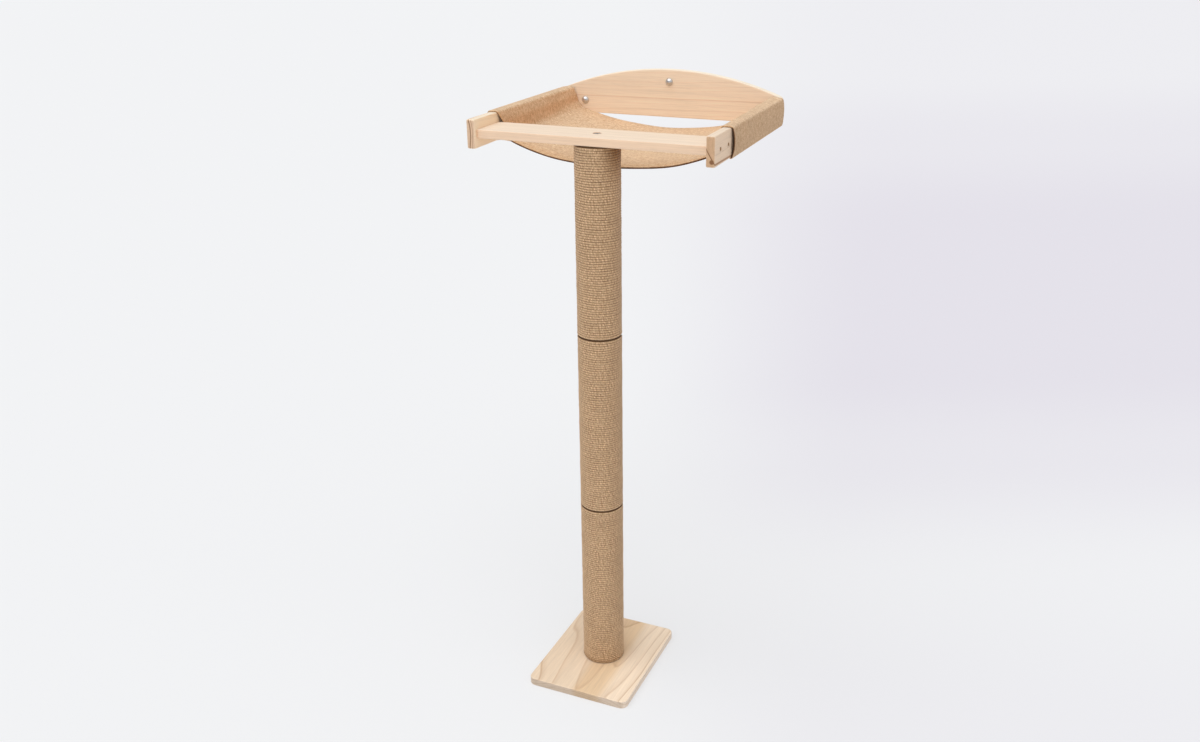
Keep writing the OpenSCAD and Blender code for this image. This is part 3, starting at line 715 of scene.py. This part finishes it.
def sleeve_points(t):
    """Points of the right sleeve: up from the belly, over and round the arm, and back to the seam.
    Each is x, z, how far the front edge lies behind the front of the sleeve there, and how far
    the back edge lies in front of the sleeve's back."""
    rim = rim_x(t)
    seam_x = rim - 2 * MM
    seam_end = seam_x - SEAM_W
    low_x = rim - BELLY_BACK
    places = [
        (low_x, belly_z(low_x, t), 16, 0),
        (rim - 3 * MM, belly_z(rim - 3 * MM, t) + 0.5 * MM, 16, 0),
        (rim + 4 * MM, rim_z(t) + 7 * MM, 16, 0),
        (ARM_IN - mix(10, 16, t) * MM, ARM_Z + mix(22, 26, t) * MM, 13, 1),
        (ARM_IN - mix(8, 12.5, t) * MM, ARM_TOP - mix(17, 12, t) * MM, 10, 2),
        (ARM_IN - mix(4.5, 8.5, t) * MM, ARM_TOP - mix(7, 5, t) * MM, 6, 3),
        (ARM_IN - mix(1, 4, t) * MM, ARM_TOP + mix(0.4, 0.8, t) * MM, 3, 3),
        (ARM_IN + 4 * MM, ARM_TOP + HUG + mix(0.2, 0.8, t) * MM, 1, 3),
        (ARM_OUT - 3.5 * MM, ARM_TOP + HUG + 0.2 * MM, 0, 4),
        (ARM_OUT + 1 * MM, ARM_TOP, 2, 4),
        (ARM_OUT + HUG + mix(1.4, 0.8, t) * MM, ARM_TOP - 7.5 * MM, 3, 1.5),
        (ARM_OUT + bulge(t), ARM_Z + 0.6 * ARM_H, 4, 1),
        (ARM_OUT + max(HUG, bulge(t) - 0.8 * MM), ARM_Z + 0.3 * ARM_H, 4, 1),
        (ARM_OUT + HUG + 0.6 * MM, arm_low(t) + 2.5 * MM, 4, 4),
        (ARM_OUT + CORNER_HUG, arm_low(t) - CORNER_HUG, 4, 7),
        (ARM_OUT - 3.5 * MM, arm_low(t) - HUG - 0.3 * MM, 8, 8),
        (ARM_IN + mix(3, -2, t) * MM, arm_low(t) - HUG - 0.4 * MM, 20, 4),
        (seam_x, belly_z(seam_x, t) - SEAM_DROP - 0.4 * MM, 24, 0),
        (seam_end, belly_z(seam_end, t) - SEAM_DROP, 26, 0),
    ]
    return [(x, z, front * MM, back * MM) for x, z, front, back in places]


def spline(p, share):
    """The smooth line through the points p, with "share" steps from each to the next."""
    p = np.array(p, float)
    line = []
    for i in range(len(p) - 1):
        a, b, c, d = p[max(i - 1, 0)], p[i], p[i + 1], p[min(i + 2, len(p) - 1)]
        for u in np.arange(share) / share:
            curve = u * (2 * a - 5 * b + 4 * c - d + u * (3 * (b - c) + d - a))
            line.append(b + u / 2 * (c - a + curve))
    line.append(p[-1])
    return np.array(line)


def sling_line(t):
    """x, z and both setbacks along the band at share t from front to back, left to right."""
    right = spline(sleeve_points(t), SLEEVE_SHARE)
    left = right[::-1] * (-1, 1, 1, 1)
    half = rim_x(t) - BELLY_BACK
    x = half * np.linspace(-1, 1, BELLY_STEPS + 1)[1:-1]
    belly = np.stack([x, belly_z(x, t), np.full_like(x, BELLY_BACK), 0 * x], 1)
    return np.concatenate([left, belly, right])


def small_forms(x, y, z, across, hanging, shares):
    """How far waves, folds and ripples lift the cloth."""
    # Slack of the cloth: shallow waves that fade out towards the wood
    waves = (
        np.sin(31 * x + 17 * y + 1.0) * np.sin(23 * y + 2.0)
        + 0.6 * np.sin(58 * x - 41 * y)
        + 0.8 * np.sin(70 * y + 25 * across) * smooth_step(np.abs(across) / 0.15)
    )
    # The fold inside each sleeve's top is puffed towards the back
    fold_r2 = (np.abs(x) - ARM_IN + 5 * MM) ** 2 + (z - ARM_TOP) ** 2
    puffed = np.exp(-fold_r2 / PUFF_R ** 2) * smooth_step((shares - 0.5) / 0.3)[:, None]
    # The sleeve's outer side ripples, away from the arm's edges
    outside = np.abs(x) > ARM_OUT + 1 * MM
    swell = smooth_step((z - ARM_Z - RIPPLE_EDGE) / RIPPLE_FADE)
    swell = swell * smooth_step((ARM_TOP - RIPPLE_EDGE - z) / RIPPLE_FADE)
    ripple = 0.5 + 0.5 * np.sin(44 * y + 60 * (z - ARM_Z)) * np.sin(19 * y + 1.3)
    return SLACK * hanging * waves + PUFF * puffed + RIPPLE * outside * swell * ripple


def front_gape(x, y, z):
    """How far the sleeve gapes to the side at its front, on the arm's outer side."""
    outer = smooth_step((np.abs(x) - ARM_OUT) / (3 * MM))
    front = smooth_step(1 - (y - y[:1]) / GAPE_DEPTH)
    return GAPE * outer * front * smooth_step((z - ARM_Z) / (12 * MM)) * np.sign(x)


def make_sling(material):
    """The whole band, with a hem turned under along the belly's front and back edges."""
    shares = np.linspace(0, 1, STATIONS + 1)
    x, z, front, back = np.moveaxis(np.array([sling_line(t) for t in shares]), 2, 0)
    y = mix(SLEEVE_FRONT_Y + front, SLING_BACK_Y - back, shares[:, None])
    middle = np.stack([x, y, z], 2)
    step_u = np.gradient(middle, axis=1)
    step_v = np.gradient(middle, axis=0)
    normal = unit(np.cross(step_u, step_v))
    steps = np.linalg.norm(np.diff(middle, axis=1), axis=2)
    across = np.concatenate([np.zeros((len(shares), 1)), np.cumsum(steps, axis=1)], 1)
    length = across[:, -1:]
    across = across - length / 2
    # 1 on the belly, 0 where the cloth wraps an arm
    in_belly = np.abs(across) < rim_x(0) + 60 * MM
    hanging = smooth_step((ARM_IN - 6 * MM - np.abs(x)) / (14 * MM)) * in_belly
    middle = middle + small_forms(x, y, z, across, hanging, shares)[:, :, None] * normal
    middle[:, :, 0] += front_gape(x, y, z)
    half = CLOTH_T / 2
    edge = np.minimum(y - y[:1], y[-1:] - y)
    hem = HEM_T * hanging * (1 - smooth_step((edge - HEM_W) / (1.5 * MM)))
    top = middle + half * normal
    under = middle - (half + hem)[:, :, None] * normal
    last = STATIONS
    turned = np.arange(1, EDGE_POINTS + 1) / (EDGE_POINTS + 1)
    # A cut edge is a little flatter than round
    backward = np.array([0, 0.8, 0])
    outer = smooth_step((np.abs(x[0]) - ARM_OUT) / (2 * MM))
    dark_edge_and_gap_shade = np.maximum(hanging[last // 2], outer)

    def edge_arc(i, j, sign):
        """Points round one edge of the cloth, from its top to its underside."""
        centre = (top[j, i] + under[j, i]) / 2
        radius = (CLOTH_T + hem[j, i]) / 2
        upward, outward = normal[j, i], sign * backward
        return [centre + radius * (cos(pi * k) * upward + sin(pi * k) * outward) for k in turned]

    loops, sides = [], []
    for i in range(middle.shape[1]):
        loops.append([*top[:, i], *edge_arc(i, last, 1), *under[::-1, i], *edge_arc(i, 0, -1)[::-1]])
        # The edge turns to its dark lining side early along the belly's front and the sleeve's outer side,
        # where the dark also serves as painted shade of the gap beneath the cloth; over the arm and inside
        # it stays pale
        arc = mix(0.5 * turned ** 3, turned ** 0.3, dark_edge_and_gap_shade[i])
        sides.append([0.5 * outer[i], *[0.0] * last, *arc, *[1.0] * (last + 1), *arc[::-1]])

    def around(values):
        """The values of the band's points, in the order of the loops."""
        ends = [np.repeat(values[k:][:1], EDGE_POINTS, 0) for k in (-1, 0)]
        return np.concatenate([values, ends[0], values[::-1], ends[1]]).T

    piece = new_piece(
        "woven_sling", np.array(loops).reshape(-1, 3), loops_to_faces(len(loops), len(loops[0])),
        material, "sling_cloth", weave_across=around(across), weave_down=around(y), lining=sides,
        front_hem=around(hanging * (1 - smooth_step((y - y[:1]) / FRONT_LIGHT_DEPTH))),
    )
    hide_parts("sling")
    area = float(np.sum(np.linalg.norm(np.cross(step_u, step_v), axis=2)[:-1, :-1]))
    return piece, top, normal, across, length, area


STITCH_L = 3.2 * MM
STITCH_STEP = 4.4 * MM
STITCH_R = 0.42 * MM
STITCH_SIDES = 6
STITCH_RINGS = 5
ROW_START = 2 * MM
# Distances of the two seam rows inward from the rim, and the hem rows' shares of the depth
SEAM_ROWS = (5 * MM, 11 * MM)
HEM_ROWS = (0.035, 0.965)
HEM_ROW_HALF = 0.178
# Further from the cloth's middle than this, the cloth is in a sleeve or its seam
SLEEVE_BEYOND = 0.2


def stitch_rows(name, rows, material):
    """Short raised stitches along rows of surface points, each row with its normals."""
    points, faces = [], []
    lift = np.sin(np.linspace(0, pi, STITCH_RINGS)) * 1.1 - 0.5
    for line, normals in rows:
        length = np.concatenate([[0], np.cumsum(np.linalg.norm(np.diff(line, axis=0), axis=1))])
        place = ROW_START
        while place + STITCH_L < length[-1]:
            at = place + STITCH_L * np.linspace(0, 1, STITCH_RINGS)
            mid = np.stack([np.interp(at, length, line[:, k]) for k in range(3)], 1)
            up = np.stack([np.interp(at, length, normals[:, k]) for k in range(3)], 1)
            way = unit(mid[-1] - mid[0])
            first = len(points)
            for r in range(STITCH_RINGS):
                side = np.cross(way, up[r])
                for a in 2 * pi * np.arange(STITCH_SIDES) / STITCH_SIDES:
                    off = lift[r] * up[r] + cos(a) * side + sin(a) * up[r]
                    points.append(mid[r] + STITCH_R * off)
            faces += loops_to_faces(STITCH_RINGS, STITCH_SIDES, first)
            place += STITCH_STEP
    return new_piece(name, points, faces, material, "sling_cloth")


def make_stitches(top, normal, across, material):
    """Two rows at each sleeve seam and one along each hem of the belly."""
    rows = []
    columns = across[STATIONS // 2]
    in_sleeve = np.abs(columns) > SLEEVE_BEYOND
    for sign in (-1, 1):
        for shift in SEAM_ROWS:
            seam_x = sign * (rim_x(0.5) - shift)
            far = np.abs(top[STATIONS // 2, :, 0] - seam_x)
            i = int(np.argmin(np.where(in_sleeve, np.inf, far)))
            rows.append((top[2:-2, i], normal[2:-2, i]))
    inside = np.abs(columns) < HEM_ROW_HALF
    for share in HEM_ROWS:
        j = int(round(share * STATIONS))
        rows.append((top[j, inside], normal[j, inside]))
    return stitch_rows("sling_stitches", rows, material)


# Wall screws with their threads

THREAD_PITCH = 2.2 * MM
THREAD_ROOT = 1.55 * MM
THREAD_R = 2.25 * MM
THREAD_HALF_W = 0.28 * THREAD_PITCH
# The thread rises to its full height over this length
THREAD_START = 0.8 * THREAD_PITCH
SHANK_R = 1.7 * MM
TIP_L = 6 * MM
TIP_R = 0.15 * MM
DOME_R = 7.5 * MM
DOME_H = 5.5 * MM
DOME_RINGS = 14
DOME_SKIRT = 0.3 * MM
DOME_EDGE = 0.2 * MM
SCREW_SIDES = 40
RINGS_PER_THREAD = 12
WALL_SCREWS = {
    "left_wall_screw": (-176 * MM, 1045.5 * MM),
    "top_wall_screw": (0, 1088 * MM),
    "right_wall_screw": (176 * MM, 1045.5 * MM),
}


def screw_radius(back, angle, thread_from, end):
    """Radius of the shank at "back" behind the dome, with the thread's ridge."""
    if back < thread_from:
        return SHANK_R
    phase = (back / THREAD_PITCH - angle / (2 * pi)) % 1
    ridge = max(0.0, 1 - abs(phase - 0.5) * THREAD_PITCH / THREAD_HALF_W)
    taper = min(1.0, (end - back) / TIP_L)
    grow = min(1.0, (back - thread_from) / THREAD_START)
    root = THREAD_ROOT * (0.12 + 0.88 * taper ** 0.8)
    crest = THREAD_R * (0.2 + 0.8 * taper ** 0.7)
    return mix(mix(SHANK_R, root, grow), crest, ridge * grow)


def wall_screw(name, x, z, material):
    """A dome-head screw through the board, built from rings from the dome's top to the tip."""
    board_low, board_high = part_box("back_board")
    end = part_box("wall_screws")[1].y - board_low.y
    thread_from = board_high.y - board_low.y
    ball = (DOME_R ** 2 + DOME_H ** 2) / (2 * DOME_H)
    angles = np.linspace(0.02, 1, DOME_RINGS)[:-1] * np.arcsin(DOME_R / ball)
    profile = [(ball - DOME_H - ball * cos(a), ball * sin(a)) for a in angles]
    profile += [(-DOME_SKIRT, DOME_R), (0.0, DOME_R - DOME_EDGE), (0.0, SHANK_R)]
    turns = [2 * pi * k / SCREW_SIDES for k in range(SCREW_SIDES)]
    loops = [[(back, r, a) for a in turns] for back, r in profile]
    for back in np.arange(0.5 * MM, end - 0.05 * MM, THREAD_PITCH / RINGS_PER_THREAD):
        loops.append([(back, screw_radius(back, a, thread_from, end), a) for a in turns])
    loops.append([(end, TIP_R, a) for a in turns])
    points = [
        (x + r * cos(a), board_low.y + back, z + r * sin(a)) for loop in loops for back, r, a in loop
    ]
    piece = new_piece(name, points, loops_to_faces(len(loops), SCREW_SIDES), material, "dome_steel")
    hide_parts("wall_screws")


# Floor, light and world

FLOOR_R = 40
# The fan of the floor's tone starts below the camera, this far in front of the post, and its depth
FAN_FROM = 1.93
FAN_DEPTH = 10
FLOOR_GLOW = 0.52


def make_floor():
    """A plain pale floor, a little darker and bluer towards the right."""
    s = Shader("floor", roughness=1.0, specular=0.0)
    x, y, _ = s.split(s.place)
    # The tone falls off to the right, in a fan that fades out near and far; it is weaker where the bed's
    # shadow falls, as painted light that lifts that shadow
    rightward = s.weigh((x, cos(CAMERA_AZIMUTH)), (y, sin(CAMERA_AZIMUTH)))
    away = s.add(s.weigh((x, -sin(CAMERA_AZIMUTH)), (y, cos(CAMERA_AZIMUTH))), FAN_FROM)
    fan = s.ramp(s.math("DIVIDE", rightward, away), (0.0, 0.0), (0.26, 1.0), smooth=True)
    depth = s.ramp(
        s.math("DIVIDE", away, FAN_DEPTH), (0.10, 0.0), (0.16, 0.30), (0.22, 0.10), (0.28, 0.6),
        (0.34, 0.90), (0.52, 0.9), (0.70, 0.6), (1.0, 0.3), smooth=True,
    )
    shade = s.mix(s.math("MULTIPLY", fan, depth), colour(240, 241, 243), colour(225, 222, 231))
    # The floor glows with part of its tone, as painted light, so that the shadows on it stay faint
    s.plug(s.surface.inputs["Emission Color"], shade)
    s.surface.inputs["Emission Strength"].default_value = FLOOR_GLOW
    shade = s.times(shade, (1 - FLOOR_GLOW,) * 3)
    mesh = bpy.data.meshes.new("floor")
    corners = [(FLOOR_R * a, FLOOR_R * b, 0) for a, b in ((-1, -1), (1, -1), (1, 1), (-1, 1))]
    mesh.from_pydata(corners, [], [(0, 1, 2, 3)])
    mesh.materials.append(s.paint(shade))
    floor = bpy.data.objects.new("floor", mesh)
    bpy.context.scene.collection.objects.link(floor)


WORLD_LIGHT = 0.52
# The room's light: the height that it comes from, as the direction's z, and its strength there
HORIZON = (0.0, 0.62)
OVERHEAD = (0.9, 1.30)
BACKGROUND = colour(243, 244, 246)


def make_world():
    """Soft studio light from all sides. The camera sees a plain pale background."""
    world = bpy.data.worlds.new("studio")
    bpy.context.scene.world = world
    world.use_nodes = True
    tree = world.node_tree
    tree.nodes.clear()
    output = tree.nodes.new("ShaderNodeOutputWorld")
    # The room is lighter overhead than at the horizon
    place = tree.nodes.new("ShaderNodeTexCoord")
    split = tree.nodes.new("ShaderNodeSeparateXYZ")
    overhead = tree.nodes.new("ShaderNodeMapRange")
    for side, (height, strength) in (("Min", HORIZON), ("Max", OVERHEAD)):
        overhead.inputs[f"From {side}"].default_value = height
        overhead.inputs[f"To {side}"].default_value = strength
    lit = tree.nodes.new("ShaderNodeBackground")
    lit.inputs["Strength"].default_value = WORLD_LIGHT
    tree.links.new(place.outputs["Generated"], split.inputs[0])
    tree.links.new(split.outputs["Z"], overhead.inputs[0])
    tree.links.new(overhead.outputs[0], lit.inputs["Color"])
    seen = tree.nodes.new("ShaderNodeBackground")
    seen.inputs["Color"].default_value = BACKGROUND
    path = tree.nodes.new("ShaderNodeLightPath")
    mixed = tree.nodes.new("ShaderNodeMixShader")
    tree.links.new(path.outputs["Is Camera Ray"], mixed.inputs[0])
    tree.links.new(lit.outputs[0], mixed.inputs[1])
    tree.links.new(seen.outputs[0], mixed.inputs[2])
    tree.links.new(mixed.outputs[0], output.inputs[0])


def sun(name, towards, strength, angle, shade=(1, 1, 1)):
    """A sun that shines from the direction "towards", with a soft disc of "angle" degrees."""
    data = bpy.data.lights.new(name, "SUN")
    data.energy = strength
    data.angle = radians(angle)
    data.color = shade
    lamp = bpy.data.objects.new(name, data)
    lamp.rotation_euler = Vector(towards).to_track_quat("Z", "Y").to_euler()
    bpy.context.scene.collection.objects.link(lamp)


make_camera()
make_floor()
make_world()
sun("key_light", (-0.20, -0.42, 1.0), 1.38, 70, (1.0, 0.995, 0.99))
sun("fill_light", (0.90, -0.60, 0.80), 0.34, 80)

# Finishes: each board has its own rings, matched to what the photo shows of it

pine = {
    "base_plate": wood(
        "pine_base", "y", (0.020, -0.150), 5.0 * MM, colour(229, 210, 190), colour(188, 155, 125), 1.0,
        lean=(0.02, -0.03), squeeze=0.6, heart=(colour(224, 198, 168), 32 * MM), top=(1.08, 1.05, 0.98),
        end=(0.72, 0.70, 0.68), strength=0.8, painted_lift=((1.14, 1.17, 1.21), 20 * MM, 80 * MM),
    ),
    "front_rail": wood(
        "pine_rail", "x", (0.210, 1.000), 3.6 * MM, colour(246, 214, 184), colour(222, 178, 140), 5.0,
        lean=(0.01, 0.02), top=(1.0, 1.13, 1.25), strength=0.6,
    ),
    "left_arm": wood(
        "pine_left_arm", "y", (-0.3008, 1.033), 8.5 * MM, colour(255, 229, 197), colour(224, 182, 142), 9.0,
        lean=(0.03, 0.01), top=(0.97, 1.07, 1.19), end=(0.67, 0.60, 0.58), strength=0.18,
        arcs=((86.6 * MM, 1.5 * MM, 2.2), (90.8 * MM, 0.7 * MM, 1.3), (98.5 * MM, 0.5 * MM, 0.35)),
    ),
    "right_arm": wood(
        "pine_right_arm", "y", (0.265, 1.052), 6.5 * MM, colour(238, 211, 183), colour(184, 142, 108), 13.0,
        lean=(-0.02, 0.01), top=(1.03, 1.12, 1.22), end=(0.68, 0.57, 0.47), strength=0.22,
        lines=(((0.87, 0.49), 0.6943, 0.0, 1.3 * MM, 1.6),),
        knots=(((0.2175, -0.048, 1.0265), 5 * MM),),
    ),
    "back_board": wood(
        "pine_board", "x", (0.300, 0.925), 11.0 * MM, colour(254, 232, 207), colour(232, 194, 160), 17.0,
        lean=(0.0, -0.03), top=(0.98, 1.08, 1.15), strength=0.35,
        lines=(((0, 1), 1.0565, -0.009, 1.6 * MM, 0.6),),
    ),
}


def dress(node, finish):
    """Give a CAD node's slots the finish."""
    for place in frame["nodes"][node].material_slots:
        place.link = "OBJECT"
        place.material = finish


for node, finish in pine.items():
    dress(node, finish)
finishes = {
    "cardboard": cardboard(),
    "plug_wood": plywood(),
    "screw_steel": steel("zinc_steel", colour(205, 206, 208), 0.32),
}
for part in frame["record"]["subparts"]:
    if part["material_slot"] in finishes:
        dress(part["node"], finishes[part["material_slot"]])
bronze = steel("bronzed_steel", colour(104, 84, 68), 0.40)
for node in ("left_rail_screws", "right_rail_screws"):
    dress(node, bronze)

rope_finish = rope_material()
fuzz_finish = fuzz_material()
for number, section in enumerate(("lower", "middle", "upper")):
    crown = rope_winding(section, number + 1, rope_finish)
    rope_fuzz(section, number + 100, crown, fuzz_finish)

sling, sling_top, sling_normal, sling_across, sling_paths, sling_area = make_sling(cloth_material())
stitches = make_stitches(sling_top, sling_normal, sling_across, thread_material())

nickel = steel("nickel", colour(212, 211, 212), 0.30, brushed=0.2)
for name, (x, z) in WALL_SCREWS.items():
    wall_screw(name, x, z, nickel)

bpy.context.scene.view_settings.view_transform = "Standard"
